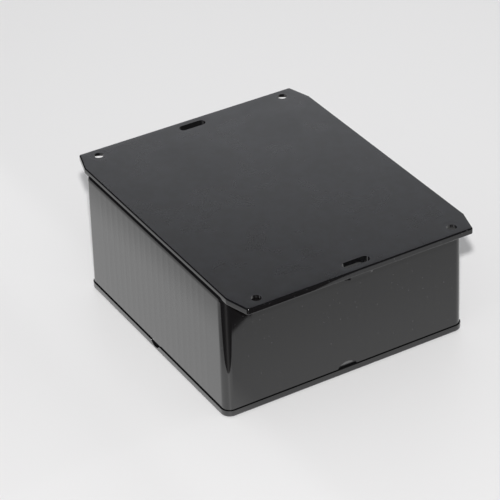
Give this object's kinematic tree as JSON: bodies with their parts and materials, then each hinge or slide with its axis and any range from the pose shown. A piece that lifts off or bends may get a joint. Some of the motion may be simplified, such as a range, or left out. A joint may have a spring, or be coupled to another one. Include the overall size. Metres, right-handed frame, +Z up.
{
  "type": "plastic project box",
  "caption": "Square black plastic electronics box with a flange at each end, card guides inside, and a thin screwed-on lid underneath.",
  "frame": {"origin": "middle of the lid's outer face, at the height of the surface the box stands on", "axes": "+X towards one flange end (the front), +Y across to the right wall seen from there backwards, +Z up, out of the mounting plate"},
  "size_m": [0.146, 0.12, 0.06],
  "materials": {
    "case_plastic": "moulded black ABS, satin, with a finely textured plate",
    "lid_plastic": "moulded black ABS, satin",
    "screw_black": "black oxide",
    "insert_brass": "turned and knurled"
  },
  "bodies": {
    "lid": {"lid": "lid_plastic"},
    "case": {"case": "case_plastic", "insert_1": "insert_brass", "insert_2": "insert_brass", "insert_3": "insert_brass", "insert_4": "insert_brass"},
    "screw_1": {"lid_screw_1": "screw_black"},
    "screw_2": {"lid_screw_2": "screw_black"},
    "screw_3": {"lid_screw_3": "screw_black"},
    "screw_4": {"lid_screw_4": "screw_black"}
  },
  "joints": [
    {"name": "case_lift", "type": "slide", "parent": "lid", "child": "case", "axis": [0, 0, 1], "range_m": [0, 0.08]},
    {"name": "screw_1_turn", "type": "hinge", "parent": "lid", "child": "screw_1", "pos_m": [-0.0535, -0.0527, 0.001], "axis": [0, 0, 1], "continuous": true},
    {"name": "screw_2_turn", "type": "hinge", "parent": "lid", "child": "screw_2", "pos_m": [0.0535, -0.0527, 0.001], "axis": [0, 0, 1], "continuous": true},
    {"name": "screw_3_turn", "type": "hinge", "parent": "lid", "child": "screw_3", "pos_m": [0.0535, 0.0527, 0.001], "axis": [0, 0, 1], "continuous": true},
    {"name": "screw_4_turn", "type": "hinge", "parent": "lid", "child": "screw_4", "pos_m": [-0.0535, 0.0527, 0.001], "axis": [0, 0, 1], "continuous": true}
  ]
}
